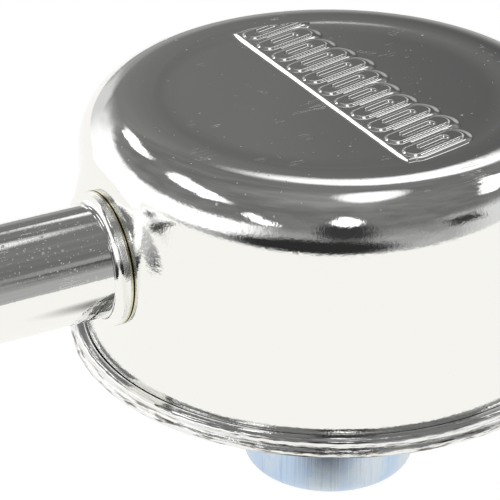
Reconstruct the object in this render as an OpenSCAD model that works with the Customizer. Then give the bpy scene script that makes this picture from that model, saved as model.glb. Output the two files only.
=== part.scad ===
// Push-in crankcase breather: a chromed cup rolled onto a base plate, with a ring
// filter inside, a neck that plugs into a rubber grommet and a side tube for a hose.
// +Z is up and the hose tube points along -X. The origin is on the neck's axis, level
// with the underside of the rim.

/* [Shell] */
// Diameter of the straight wall
wall_d = 72; // [70:0.5:73]
// Height of the shoulder's crest above the underside of the rim
shell_h = 37; // [36.5:0.5:44]
// Radius of the shoulder between wall and crown
shoulder_r = 7.3; // [6.5:0.1:8]
// Radius of the flatter curve at the crest
crest_r_top = 18; // [12:1:20]
// Depth of the shallow dish pressed into the crown
dish_depth = 0.25; // [0.15:0.05:0.4]
// Diameter of the dish's flat floor
dish_floor_d = 43; // [40:1:46]
// Thickness of the shell's sheet
shell_t = 0.8; // [0.6:0.1:1]

/* [Crown band] */
// Length of the raised band, across the hose tube's direction
band_length = 49.4; // [40:0.2:49.6]
// Number of slanted bars on the band
bar_count = 11; // [7:1:12]
// Slant of the bars
bar_slant = 14; // [0:1:20]

/* [Base plate] */
// Diameter over the rolled rim
flange_d = 76.2; // [76.2:0.1:78]
// Thickness of the base plate's sheet
base_t = 0.8; // [0.7:0.05:0.85]
// Depth of the recess round the neck
recess_depth = 2; // [1.5:0.1:2.2]

/* [Neck] */
// Outer diameter of the neck
neck_d = 25.4; // [24:0.1:26]
// Length of the neck below the rim
neck_length = 22.5; // [18:0.5:28]
// Wall of the neck's tube
neck_wall = 1.2; // [1.1:0.1:1.4]

/* [Hose tube] */
// Outer diameter of the hose tube
tube_d = 15.875; // [15:0.005:16]
// Wall of the hose tube
tube_wall = 1.2; // [1:0.1:1.5]
// Distance from the neck's axis to the tube's open end
tube_reach = 68; // [56:1:80]
// Height of the tube's axis above the underside of the rim
tube_z = 19.5; // [19:0.1:19.7]
// Diameter of the collar
collar_d = 18.9; // [18.5:0.1:19.1]

/* [Filter] */
// Outer diameter of the filter element
element_d = 58.3; // [56:0.1:58.4]
// Inner diameter of the filter element
element_bore = 46.3; // [46:0.1:48]

/* [Hidden] */

$fn = 96;
gap = 0.06;          // room round a part that slips into another
through = 1;         // how far a cutting shape runs past a face

chrome_colour = [0.86, 0.87, 0.88];
zinc_colour = [0.70, 0.77, 0.86];
yellow_zinc_colour = [0.80, 0.76, 0.52];
steel_colour = [0.60, 0.61, 0.62];
wire_colour = [0.48, 0.47, 0.44];
felt_colour = [0.62, 0.60, 0.55];
rubber_colour = [0.10, 0.10, 0.11];
fibre_colour = [0.30, 0.34, 0.32];

// Shell
wall_r = wall_d / 2;
crest_tilt = 8;      // slope where the shoulder passes into the flatter curve
shoulder_mid = [wall_r - shoulder_r,
                shell_h - crest_r_top + (crest_r_top - shoulder_r) * cos(crest_tilt)];
crest_r = shoulder_mid.x - (crest_r_top - shoulder_r) * sin(crest_tilt);
floor_r = dish_floor_d / 2;
floor_z = shell_h - dish_depth;
ceiling_z = floor_z - shell_t;
dish_run = crest_r - floor_r;
dish_slope = 2 * atan(dish_depth / dish_run);
roll_sum = dish_depth / (1 - cos(dish_slope));
roll_share = 0.42;   // the crest's part of the two radii that make the dish's edge
crest_roll = roll_sum * roll_share;
floor_roll = roll_sum - crest_roll;

// Seam, from the bottom: base plate, seal, foot flange, rolled lip
seal_t = 0.4;
foot_z = base_t + seal_t;
foot_top = foot_z + shell_t;
seam_wall = 0.8;     // sheet outside the foot flange
rim_r = flange_d / 2;
pocket_r = rim_r - seam_wall;
foot_r = pocket_r - 0.1;
lip_t = 0.65;
lip_top = foot_top + lip_t;
lip_r = wall_r + 0.12;
low_bead_r = 0.75;
high_bead_r = lip_t;
high_bead_in = 0.35; // how far the upper bead stands inside the lower one

// Base plate
bead_mid = 32.6;     // stiffening bead's middle radius
bead_half = 1.3;
bead_h = 0.8;
recess_r = 20.8;
recess_run = 0.8;    // horizontal run of the recess's sloping side
plate_top = recess_depth + base_t;

// Neck
neck_r = neck_d / 2;
neck_shank_r = neck_r - 0.5;
neck_seat_h = 0.45;  // height of the cone that beds the neck in the base plate's hole
neck_in_r = neck_r - neck_wall;
gasket_t = 0.6;
neck_flange_z = plate_top + gasket_t;
neck_flange_t = 1.2;
neck_flange_top = neck_flange_z + neck_flange_t;
neck_flange_r = recess_r - 0.3;
nose_r = 1.6;
nose_lip = 0.4;      // how far the nose turns in past the bore
screen_z = -13;
screen_t = 0.6;
screen_stop = 0.6;   // step in the bore that the gauze rests against
snap_wire_r = 0.5;
snap_groove = 0.15;

// Rivets and baffle
rivet_count = 3;
rivet_ring_r = 18;
rivet_r = 1.2;
rivet_head_r = 1.9;
rivet_head_h = 0.8;
rivet_sink = 0.6;    // depth of the countersunk lower head, flush with the recess
baffle_t = 0.8;
foot_plate_top = neck_flange_top + baffle_t;
baffle_r = 15.4;
baffle_z = 14;
leg_w = 5;

// Hose tube, measured along its axis from the neck's axis
tube_r = tube_d / 2;
tube_shank_r = tube_r - 0.5;
tube_bore_r = tube_r - tube_wall;
tube_inner_end = 31.8;
pad_s = wall_r + 0.15;
pad_r = 9.8;
washer_t = 0.45;
washer_s = pad_s + washer_t;
collar_r = collar_d / 2;
collar_band = 0.8;
collar_flare = 0.9;
collar_s = washer_s + collar_band + collar_flare;
collar_foot_r = tube_r + 0.1;
groove_depth = 0.14;
groove_count = 2;
saddle_r = 9.2;
saddle_s = 33.5;
lock_ring_t = 0.8;
tube_chamfer = 0.3;

// Filter pack, from the bottom
felt_t = 1.2;
plate_t = 0.6;
screen_wall = 0.5;
element_r = element_d / 2;
element_in_r = element_bore / 2;
pack_in_r = element_in_r - gap - screen_wall;
pack_r = element_r + gap + screen_wall;
cap_r = pack_r + gap + screen_wall;
pack_z = base_t + felt_t;
element_z = pack_z + plate_t;
spring_room = 3.5;
cap_z = ceiling_z - spring_room - plate_t;
cap_top = cap_z + plate_t;
element_top = cap_z - felt_t;
cap_rim_h = 2;
hole_r = 1.7;
hole_rows = 5;
hole_columns = 16;

// Spring
spring_t = 0.4;
spring_arms = 4;
spring_hub_r = 8;
spring_hole_r = 3;
arm_w = 5;
arm_start = 7;
arm_end = 19;
pad_length = 2.6;

// Points along an arc about centre c, from angle a0 to a1
function arc(c, r, a0, a1, n = 10) =
    [for (i = [0:n]) let (a = a0 + (a1 - a0) * i / n) c + r * [cos(a), sin(a)]];

// Top surface of the shell, or the surface t below it, from the wall to the axis
function shell_curve(t) = concat(
    arc(shoulder_mid, shoulder_r - t, 0, 90 - crest_tilt, 14),
    arc([crest_r, shell_h - crest_r_top], crest_r_top - t, 90 - crest_tilt, 90, 3),
    arc([crest_r, shell_h - crest_roll], crest_roll - t, 90, 90 + dish_slope, 5),
    arc([floor_r, floor_z + floor_roll], floor_roll + t, dish_slope - 90, -90, 6),
    [[0, floor_z - t]]
);

function reversed(list) = [for (i = [len(list) - 1:-1:0]) list[i]];

// Places children on the hose tube's axis, with +Z of the child running outwards
module on_tube() {
    translate([0, 0, tube_z]) rotate([0, -90, 0]) children();
}

module ring(r_out, r_in, h) {
    difference() {
        cylinder(r = r_out, h = h);
        translate([0, 0, -through]) cylinder(r = r_in, h = h + 2 * through);
    }
}

// Flat outline with two round ends, along X from the origin
module slot_outline(length, half_width) {
    translate([0, -half_width]) square([length, 2 * half_width]);
    circle(r = half_width);
    translate([length, 0]) circle(r = half_width);
}

// One slanted bar's outline; the bars differ in length along the band
module bar_outline(i, half_width) {
    pitch = band_length / bar_count;
    reach = 7.3 + 0.8 * sin(75 * i);
    translate([-1.2, (i - (bar_count - 1) / 2) * pitch])
        rotate(bar_slant) slot_outline(reach, half_width);
}

// Raised band across the crown: a low plateau with a straight edge towards the tube
// and a scalloped edge away from it, and a row of slanted bars on top
module crown_band() {
    plateau_h = 0.35;
    bar_h = 0.25;
    sunk = 0.3;
    band_limit = 25.2;
    plateau_half = 2.35;
    bar_half = 1.25;
    edge_x = -3.3;
    edge_w = 4;
    translate([0, 0, floor_z - sunk]) linear_extrude(plateau_h + sunk) intersection() {
        union() {
            for (i = [0:bar_count - 1]) bar_outline(i, plateau_half);
            translate([edge_x, -band_length / 2]) square([edge_w, band_length]);
        }
        translate([edge_x, -band_limit]) square([band_limit, 2 * band_limit]);
        circle(r = band_limit);
    }
    translate([0, 0, floor_z + plateau_h - sunk]) linear_extrude(bar_h + sunk) intersection() {
        union() {
            for (i = [0:bar_count - 1]) bar_outline(i, bar_half);
        }
        circle(r = band_limit - 0.7);
    }
}

// Flat seat pressed out of the round wall for the tube's collar
module tube_pad() {
    difference() {
        on_tube() translate([0, 0, pad_s - 3]) cylinder(r = pad_r, h = 3);
        cylinder(r = wall_r - shell_t / 2, h = shell_h);
    }
}

module cover_shell() {
    outer = shell_curve(0);
    inner = shell_curve(shell_t);
    foot = [[wall_r - shell_t, foot_z], [foot_r, foot_z], [foot_r, foot_top], [wall_r, foot_top]];
    color(chrome_colour) {
        difference() {
            union() {
                rotate_extrude() polygon(concat(foot, outer, reversed(inner)));
                tube_pad();
                crown_band();
            }
            on_tube() translate([0, 0, crest_r]) cylinder(r = tube_shank_r + gap, h = wall_r);
        }
    }
}

// Half section of the base plate: hole, recess, stiffening bead and rolled rim
module base_section() {
    hole = neck_shank_r + gap;
    low_bead = arc([rim_r - low_bead_r, low_bead_r], low_bead_r, -90, 52);
    high_bead = arc([rim_r - high_bead_in - high_bead_r, lip_top - high_bead_r], high_bead_r, -30, 90);
    lip_end = arc([lip_r + 0.3, lip_top - 0.3], 0.3, 90, 180, 4);
    bead_under = [[bead_mid - bead_half, 0], [bead_mid - bead_half / 2, bead_h],
                  [bead_mid + bead_half / 2, bead_h], [bead_mid + bead_half, 0]];
    bead_over = [for (p = reversed(bead_under)) p + [0, base_t]];
    polygon(concat(
        [[hole, recess_depth + neck_seat_h], [neck_r + gap, recess_depth],
         [recess_r, recess_depth], [recess_r + recess_run, 0]],
        bead_under, low_bead, high_bead, lip_end,
        [[lip_r, foot_top], [pocket_r, foot_top], [pocket_r, base_t]],
        bead_over,
        [[recess_r + 2 * recess_run, base_t], [recess_r + recess_run, plate_top], [hole, plate_top]]
    ));
}

module rivet_places() {
    for (i = [0:rivet_count - 1])
        rotate(i * 360 / rivet_count + 30) translate([rivet_ring_r, 0, 0]) children();
}

module rivet_holes() {
    rivet_places() cylinder(r = rivet_r + gap, h = foot_plate_top + through);
}

// Holes in the base plate, widened below for the countersunk heads
module countersunk_holes() {
    hole = rivet_r + gap;
    sink = rivet_head_r + gap;
    rivet_places() translate([0, 0, recess_depth]) rotate_extrude()
        polygon([[0, -through], [sink, -through], [sink, 0], [hole, rivet_sink],
                 [hole, base_t + through], [0, base_t + through]]);
}

module base_plate() {
    color(chrome_colour) difference() {
        rotate_extrude() base_section();
        countersunk_holes();
    }
}

module rim_seal() {
    color(rubber_colour) translate([0, 0, base_t])
        ring(foot_r, wall_r - shell_t - 0.1, seal_t);
}

module neck_tube() {
    nose = arc([neck_r - nose_r, nose_r - neck_length], nose_r, 0, -90, 8);
    lip_in_r = neck_in_r - nose_lip;
    groove_top = screen_z - screen_t;
    groove_low = groove_top - 2 * snap_wire_r - 0.1;
    color(zinc_colour) difference() {
        rotate_extrude() polygon(concat(
            [[neck_in_r - screen_stop, neck_flange_top], [neck_flange_r, neck_flange_top],
             [neck_flange_r, neck_flange_z], [neck_shank_r, neck_flange_z],
             [neck_shank_r, recess_depth + neck_seat_h], [neck_r, recess_depth]],
            nose,
            [[lip_in_r, -neck_length], [lip_in_r, 0.6 - neck_length], [neck_in_r, 1.4 - neck_length],
             [neck_in_r, groove_low], [neck_in_r + snap_groove, groove_low],
             [neck_in_r + snap_groove, groove_top], [neck_in_r, groove_top],
             [neck_in_r, screen_z], [neck_in_r - screen_stop, screen_z]]
        ));
        rivet_holes();
    }
}

module neck_gasket() {
    color(fibre_colour) difference() {
        translate([0, 0, plate_top]) ring(neck_flange_r, neck_shank_r + gap, gasket_t);
        rivet_holes();
    }
}

// Gauze disc, drawn as a plate with rings of round holes
module neck_screen() {
    mesh_hole = 0.95;
    rings = 4;
    color(wire_colour) translate([0, 0, screen_z - screen_t]) linear_extrude(screen_t) difference() {
        circle(r = neck_in_r - gap);
        circle(r = mesh_hole);
        for (k = [1:rings]) for (i = [0:6 * k - 1])
            rotate(i * 60 / k) translate([k * 2.55, 0]) circle(r = mesh_hole);
    }
}

module screen_snap_ring() {
    ring_r = neck_in_r + snap_groove - snap_wire_r - 0.05;
    opening = 4;
    color(steel_colour) translate([0, 0, screen_z - screen_t - snap_wire_r]) difference() {
        rotate_extrude() translate([ring_r, 0]) circle(r = snap_wire_r, $fn = 32);
        translate([0, -opening / 2, -through]) cube([neck_r, opening, 2 * through]);
    }
}

// Cap on three legs over the neck, with its rim turned down
module splash_baffle() {
    rim_drop = 2;
    leg_x = baffle_r - baffle_t / 2;
    foot_length = 5;
    color(steel_colour) difference() {
        union() {
            translate([0, 0, baffle_z]) cylinder(r = baffle_r, h = baffle_t);
            translate([0, 0, baffle_z - rim_drop]) ring(baffle_r, baffle_r - baffle_t, rim_drop + baffle_t / 2);
            for (i = [0:rivet_count - 1]) rotate(i * 360 / rivet_count + 30) {
                translate([leg_x, -leg_w / 2, neck_flange_top])
                    cube([baffle_t, leg_w, baffle_z + baffle_t - neck_flange_top]);
                translate([leg_x, -leg_w / 2, neck_flange_top]) cube([foot_length, leg_w, baffle_t]);
            }
        }
        rivet_holes();
    }
}

module baffle_rivets() {
    shank = foot_plate_top - recess_depth;
    color(zinc_colour) rivet_places() translate([0, 0, recess_depth]) {
        rotate_extrude() polygon([[0, 0], [rivet_head_r, 0], [rivet_r, rivet_sink],
            [rivet_r, shank], [rivet_head_r, shank], [rivet_head_r, shank + rivet_head_h / 3],
            [rivet_head_r - 0.6, shank + rivet_head_h], [0, shank + rivet_head_h]]);
    }
}

module hose_tube() {
    color(chrome_colour) on_tube() rotate_extrude() polygon([
        [tube_bore_r, tube_inner_end], [tube_shank_r, tube_inner_end], [tube_shank_r, collar_s],
        [tube_r, collar_s], [tube_r, tube_reach - tube_chamfer], [tube_r - tube_chamfer, tube_reach],
        [tube_bore_r + tube_chamfer, tube_reach], [tube_bore_r, tube_reach - tube_chamfer]
    ]);
}

// Turned collar: a grooved band against the washer and a flare down to the tube
module tube_collar() {
    bore = tube_shank_r + gap;
    band_end = washer_s + collar_band;
    pitch = collar_band / (groove_count + 1);
    grooves = [for (k = [1:groove_count]) each [
        [collar_r, washer_s + pitch * k - pitch / 4],
        [collar_r - groove_depth, washer_s + pitch * k],
        [collar_r, washer_s + pitch * k + pitch / 4]
    ]];
    flare_r = collar_r - collar_foot_r;
    flare = [for (i = [0:8]) let (a = 90 * i / 8)
        [collar_foot_r + flare_r * (1 - sin(a)), band_end + collar_flare * (1 - cos(a))]];
    color(chrome_colour) on_tube() rotate_extrude()
        polygon(concat([[bore, washer_s], [collar_r, washer_s]], grooves, flare, [[bore, collar_s]]));
}

module collar_washer() {
    color(yellow_zinc_colour) on_tube() translate([0, 0, pad_s])
        ring(collar_r, tube_shank_r + gap, washer_t);
}

// Spacer inside the shell: flat towards the axis and curved to fit the wall
module inner_saddle() {
    color(steel_colour) intersection() {
        on_tube() translate([0, 0, saddle_s]) ring(saddle_r, tube_shank_r + gap, shell_t + 3, $fn = 240);
        cylinder(r = wall_r - shell_t - gap, h = shell_h, $fn = 240);
    }
}

module tube_lock_ring() {
    color(steel_colour) on_tube() translate([0, 0, saddle_s - lock_ring_t])
        ring(saddle_r, tube_shank_r + gap / 3, lock_ring_t);
}

module lower_felt() {
    color(felt_colour) translate([0, 0, base_t]) ring(cap_r, recess_r + 2 * recess_run + 0.2, felt_t);
}

// Channel ring that the element and both screens stand in
module lower_end_ring() {
    color(steel_colour) translate([0, 0, pack_z]) {
        ring(cap_r, pack_in_r, plate_t);
        translate([0, 0, plate_t / 2]) ring(cap_r, pack_r + gap, cap_rim_h);
    }
}

// Perforated sleeve with staggered rows of round holes
module perforated_sleeve(r_out) {
    height = cap_z - element_z;
    row_pitch = height / hole_rows;
    turn = 360 / hole_columns;
    translate([0, 0, element_z]) difference() {
        ring(r_out, r_out - screen_wall, height);
        for (row = [0:hole_rows - 1]) for (k = [0:hole_columns - 1])
            rotate(turn * (k + (row % 2) / 2))
                translate([r_out - screen_wall - through, 0, row_pitch * (row + 0.5)])
                    rotate([0, 90, 0]) cylinder(r = hole_r, h = screen_wall + 2 * through);
    }
}

module inner_screen() {
    color(steel_colour) perforated_sleeve(pack_in_r + screen_wall);
}

module outer_screen() {
    color(steel_colour) perforated_sleeve(pack_r);
}

module filter_element() {
    color(wire_colour) translate([0, 0, element_z]) ring(element_r, element_in_r, element_top - element_z);
}

module upper_felt() {
    color(felt_colour) translate([0, 0, element_top]) ring(element_r, element_in_r, felt_t);
}

// Disc that closes the element's top, with a turned-down rim and a boss for the spring
module upper_end_plate() {
    boss_h = 0.6;
    color(steel_colour) {
        translate([0, 0, cap_z]) cylinder(r = cap_r, h = plate_t);
        translate([0, 0, cap_z - cap_rim_h]) ring(cap_r, pack_r + gap, cap_rim_h + plate_t / 2);
        translate([0, 0, cap_z + plate_t / 2]) cylinder(r = spring_hole_r - gap, h = boss_h);
    }
}

// Leaf spring: a flat hub and sloping arms whose flat tips press on the crown
module hold_down_spring() {
    rise = ceiling_z - cap_top - spring_t;
    arm_angle = atan(rise / (arm_end - arm_start));
    arm_length = (arm_end - arm_start) / cos(arm_angle);
    color(steel_colour) difference() {
        union() {
            translate([0, 0, cap_top]) cylinder(r = spring_hub_r, h = spring_t);
            for (i = [0:spring_arms - 1]) rotate(i * 360 / spring_arms + 45) {
                translate([arm_start, -arm_w / 2, cap_top]) rotate([0, -arm_angle, 0])
                    cube([arm_length, arm_w, spring_t]);
                translate([arm_end - 0.3, -arm_w / 2, ceiling_z - spring_t])
                    cube([pad_length, arm_w, spring_t]);
            }
        }
        translate([0, 0, cap_top - through]) cylinder(r = spring_hole_r, h = 3 * through);
    }
}

cover_shell();
base_plate();
rim_seal();
neck_tube();
neck_gasket();
neck_screen();
screen_snap_ring();
splash_baffle();
baffle_rivets();
hose_tube();
tube_collar();
collar_washer();
inner_saddle();
tube_lock_ring();
lower_felt();
lower_end_ring();
inner_screen();
filter_element();
outer_screen();
upper_felt();
upper_end_plate();
hold_down_spring();
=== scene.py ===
import math

import bmesh
import bpy
import numpy as np
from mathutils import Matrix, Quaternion, Vector


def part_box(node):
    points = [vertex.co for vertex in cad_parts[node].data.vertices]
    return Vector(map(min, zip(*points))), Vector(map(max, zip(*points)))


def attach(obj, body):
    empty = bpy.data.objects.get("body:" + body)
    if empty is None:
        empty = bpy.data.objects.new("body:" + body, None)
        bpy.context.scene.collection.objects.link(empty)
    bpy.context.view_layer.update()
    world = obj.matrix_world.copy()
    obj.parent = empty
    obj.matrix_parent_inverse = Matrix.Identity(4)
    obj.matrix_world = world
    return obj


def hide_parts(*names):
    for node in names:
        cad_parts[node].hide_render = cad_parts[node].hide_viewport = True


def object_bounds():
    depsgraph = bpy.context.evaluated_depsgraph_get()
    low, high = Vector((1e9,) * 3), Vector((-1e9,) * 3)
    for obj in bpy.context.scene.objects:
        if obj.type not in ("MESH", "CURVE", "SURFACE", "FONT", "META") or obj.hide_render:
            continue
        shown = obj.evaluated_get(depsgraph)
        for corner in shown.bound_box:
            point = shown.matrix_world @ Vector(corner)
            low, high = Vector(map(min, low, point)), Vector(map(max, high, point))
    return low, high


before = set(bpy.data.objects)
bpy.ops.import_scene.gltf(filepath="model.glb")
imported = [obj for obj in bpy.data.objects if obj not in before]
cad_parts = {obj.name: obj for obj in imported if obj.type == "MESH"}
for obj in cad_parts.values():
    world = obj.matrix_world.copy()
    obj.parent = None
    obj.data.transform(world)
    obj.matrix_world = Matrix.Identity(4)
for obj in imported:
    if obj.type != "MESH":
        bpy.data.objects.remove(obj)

cad_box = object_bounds()

# ---------------------------------------------------------------------------
# Sizes, in millimetres. The outer ones come from the CAD frame's boxes.
# ---------------------------------------------------------------------------
MM = 0.001


def box_mm(node):
    low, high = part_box(node)
    return low / MM, high / MM


cover_low, cover_high = box_mm("cover_shell")
base_high = box_mm("base_plate")[1]
neck_low, neck_high = box_mm("neck_tube")
pipe_low, pipe_high = box_mm("hose_tube")
collar_low, collar_high = box_mm("tube_collar")
washer_low, washer_high = box_mm("collar_washer")
gauze_low, gauze_high = box_mm("neck_screen")
rivets_high = box_mm("baffle_rivets")[1]

SHEET = 0.8
GAP = 0.06

# Cover
FOOT_R = cover_high.x
FOOT_Z = cover_low.z
FOOT_TOP = FOOT_Z + SHEET
WALL_R = FOOT_R - 1.2
DISH_DEPTH = 0.25
DISH_FLOOR_R = 21.5
PLATEAU_H = 0.35
BAR_H = 0.25
FLOOR_Z = cover_high.z - PLATEAU_H - BAR_H
SHELL_H = FLOOR_Z + DISH_DEPTH
SHOULDER_R = 7.3
CREST_TOP_R = 18.0
CREST_TILT = 8.0
SHOULDER_MID_R = WALL_R - SHOULDER_R
SHOULDER_MID_Z = SHELL_H - CREST_TOP_R + (CREST_TOP_R - SHOULDER_R) * math.cos(math.radians(CREST_TILT))
CREST_R = SHOULDER_MID_R - (CREST_TOP_R - SHOULDER_R) * math.sin(math.radians(CREST_TILT))
DISH_SLOPE = 2 * math.degrees(math.atan(DISH_DEPTH / (CREST_R - DISH_FLOOR_R)))
ROLL_SUM = DISH_DEPTH / (1 - math.cos(math.radians(DISH_SLOPE)))
CREST_ROLL = 0.42 * ROLL_SUM
FLOOR_ROLL = ROLL_SUM - CREST_ROLL

# Hose tube, measured outwards along its axis from the neck's axis
TUBE_R = (pipe_high.y - pipe_low.y) / 2
TUBE_Z = (pipe_high.z + pipe_low.z) / 2
TUBE_END = -pipe_low.x
TUBE_START = -pipe_high.x
TUBE_BORE_R = TUBE_R - 1.2
TUBE_SHANK_R = TUBE_R - 0.5
COLLAR_R = (collar_high.y - collar_low.y) / 2
COLLAR_START = -collar_high.x
COLLAR_END = -collar_low.x
PAD_S = -washer_high.x
PAD_R = 9.8
PAD_BLEND_R = 15.0

# Crown band
BAND_LENGTH = 49.4
BAR_COUNT = 11
BAR_SLANT = math.radians(14)
BAND_EDGE_X = -3.3
BAND_LIMIT_R = 25.2

# Base plate, from the inside out
RIM_R = base_high.x
LIP_TOP = base_high.z
RECESS_R = 20.8
RECESS_RUN = 0.8
RECESS_DEPTH = 2.0
BASE_T = 0.8
STIFFENER_R = 32.6
STIFFENER_HALF = 1.3
STIFFENER_H = 0.8

# Neck
NECK_R = 12.7
NECK_END = neck_low.z
NECK_TOP = neck_high.z
NECK_FLANGE_R = neck_high.x
NECK_IN_R = NECK_R - 1.2
NECK_SHANK_R = NECK_R - 0.5
NECK_SEAT_H = 0.45
NOSE_R = 1.6

# Rivets
RIVET_COUNT = 3
RIVET_RING_R = 18.0
RIVET_R = 1.2
RIVET_HEAD_R = 1.9
RIVET_SINK = 0.6


# ---------------------------------------------------------------------------
# Mesh building
# ---------------------------------------------------------------------------
def arc(centre_r, centre_z, radius, start, end, steps):
    """Points of an arc in a half section, between two angles in degrees."""
    angles = np.radians(np.linspace(start, end, steps + 1))
    return [(centre_r + radius * math.cos(a), centre_z + radius * math.sin(a)) for a in angles]


def line(start, end, steps):
    """Evenly spaced points from start up to but not including end."""
    return [
        (start[0] + (end[0] - start[0]) * i / steps, start[1] + (end[1] - start[1]) * i / steps)
        for i in range(steps)
    ]


def even_turn(steps):
    return np.linspace(0, 2 * math.pi, steps, endpoint=False)


def upright(radius, height, angle):
    return radius * np.cos(angle), radius * np.sin(angle), height + 0 * angle


def along_tube(radius, reach, angle):
    return -reach + 0 * angle, radius * np.cos(angle), TUBE_Z + radius * np.sin(angle)


def lathe(profile, angles, place=upright, closed=True):
    """Vertices and quads of a half section turned about an axis."""
    rows = [np.stack(place(r, h, angles), axis=1) for r, h in profile]
    count, turn = len(profile), len(angles)
    quads = []
    for i in range(count if closed else count - 1):
        j = (i + 1) % count
        for k in range(turn):
            m = (k + 1) % turn
            quads.append((i * turn + k, i * turn + m, j * turn + m, j * turn + k))
    return np.concatenate(rows), quads


def piece(name, vertices, faces, material, smooth_angle=40):
    """A mesh object from vertices in millimetres."""
    mesh = bpy.data.meshes.new(name)
    mesh.from_pydata((np.asarray(vertices) * MM).tolist(), [], faces)
    work = bmesh.new()
    work.from_mesh(mesh)
    bmesh.ops.recalc_face_normals(work, faces=work.faces)
    work.to_mesh(mesh)
    work.free()
    finish_mesh(mesh, smooth_angle)
    mesh.materials.append(material)
    made = bpy.data.objects.new(name, mesh)
    bpy.context.scene.collection.objects.link(made)
    return made


def finish_mesh(mesh, smooth_angle):
    mesh.shade_smooth()
    mesh.set_sharp_from_angle(angle=math.radians(smooth_angle))


def cut(target, cutter, smooth_angle=40):
    """Takes the cutter's volume out of the target and deletes the cutter."""
    step = target.modifiers.new("cut", "BOOLEAN")
    step.operation = "DIFFERENCE"
    step.solver = "EXACT"
    step.object = cutter
    bpy.context.view_layer.update()
    graph = bpy.context.evaluated_depsgraph_get()
    mesh = bpy.data.meshes.new_from_object(target.evaluated_get(graph))
    target.modifiers.clear()
    target.data = mesh
    finish_mesh(mesh, smooth_angle)
    bpy.data.objects.remove(cutter)


def solid_lathe(name, profile, material, steps=256, place=upright, smooth_angle=40):
    vertices, faces = lathe(profile, even_turn(steps), place)
    return piece(name, vertices, faces, material, smooth_angle)


def join_solids(parts):
    """One vertex and face list from several."""
    vertices, faces, start = [], [], 0
    for part_vertices, part_faces in parts:
        vertices.append(np.asarray(part_vertices))
        faces += [tuple(start + i for i in face) for face in part_faces]
        start += len(part_vertices)
    return np.concatenate(vertices), faces


def smooth(x):
    x = np.clip(x, 0, 1)
    return x * x * (3 - 2 * x)


# ---------------------------------------------------------------------------
# Cover: one pressed sheet
# ---------------------------------------------------------------------------
def capsule_distance(x, y, start, end, half_width):
    """Signed distance from a round-ended bar."""
    dx, dy = end[0] - start[0], end[1] - start[1]
    share = ((x - start[0]) * dx + (y - start[1]) * dy) / (dx * dx + dy * dy)
    share = np.clip(share, 0, 1)
    return np.hypot(x - start[0] - share * dx, y - start[1] - share * dy) - half_width


def bar_ends(i):
    """Both ends of one slanted bar's middle line; the bars differ in length."""
    reach = 7.3 + 0.8 * math.sin(math.radians(75 * i))
    y = (i - (BAR_COUNT - 1) / 2) * BAND_LENGTH / BAR_COUNT
    start = (-0.8, y)
    return start, (start[0] + reach * math.cos(BAR_SLANT), y + reach * math.sin(BAR_SLANT))


def raised(distance, edge):
    """0 outside a shape and 1 inside it, with a sloping edge."""
    share = np.clip(0.5 - distance / edge, 0, 1)
    return 0.5 * share + 0.5 * smooth(share)


def crown_relief(x, y):
    """Height of the pressed band above the dish floor."""
    radius = np.hypot(x, y)
    plateau = np.maximum(np.abs(x - BAND_EDGE_X) - 4.0, np.abs(y) - BAND_LENGTH / 2)
    bars, slots = np.full_like(x, 9.0), np.full_like(x, 9.0)
    for i in range(BAR_COUNT):
        start, end = bar_ends(i)
        plateau = np.minimum(plateau, capsule_distance(x, y, start, end, 2.5))
        bars = np.minimum(bars, capsule_distance(x, y, start, end, 1.45))
        slot_start = (start[0] + 1.4, start[1] + 0.35)
        slot_end = (end[0] - 1.5, end[1] - 0.35)
        slots = np.minimum(slots, capsule_distance(x, y, slot_start, slot_end, 0.55))
    plateau = np.maximum(plateau, radius - BAND_LIMIT_R)
    bars = np.maximum(bars, radius - BAND_LIMIT_R + 0.7)
    straight_edge = np.clip((x - BAND_EDGE_X) / 0.62, 0, 1)
    step = np.minimum(raised(plateau, 1.1), straight_edge)
    return PLATEAU_H * step + BAR_H * (raised(bars, 0.45) - raised(slots, 0.5))


def dish_height(radius):
    """Height of the dish's flat floor and of the slope from it up to the crest."""
    run = FLOOR_ROLL * math.sin(math.radians(DISH_SLOPE))
    from_floor = np.clip(radius - DISH_FLOOR_R, 0, run)
    from_crest = np.clip(CREST_R - radius, 0, CREST_R - DISH_FLOOR_R - run)
    low = FLOOR_Z + FLOOR_ROLL - np.sqrt(FLOOR_ROLL**2 - from_floor**2)
    high = SHELL_H - CREST_ROLL + np.sqrt(CREST_ROLL**2 - from_crest**2)
    return np.where(radius < DISH_FLOOR_R + run, low, high)


def sheet_waves(x, y):
    """The pressed sheet's slight unevenness, fading out at the crest."""
    fade = np.clip(1 - (x * x + y * y) / CREST_R**2, 0, 1)
    strain = np.exp(-((x / 7) ** 2)) * 0.015
    return fade * (strain + 0.006 * np.sin(x / 3.1 + y / 7.0) + 0.005 * np.sin(y / 2.7 - x / 8.0))


def fine_steps(low, high, fine_low, fine_high, coarse, fine):
    """Positions from low to high, closer together between fine_low and fine_high."""
    return np.concatenate([
        np.linspace(low, fine_low, max(2, round((fine_low - low) / coarse)), endpoint=False),
        np.linspace(fine_low, fine_high, round((fine_high - fine_low) / fine), endpoint=False),
        np.linspace(fine_high, high, max(2, round((high - fine_high) / coarse)) + 1),
    ])


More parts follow.
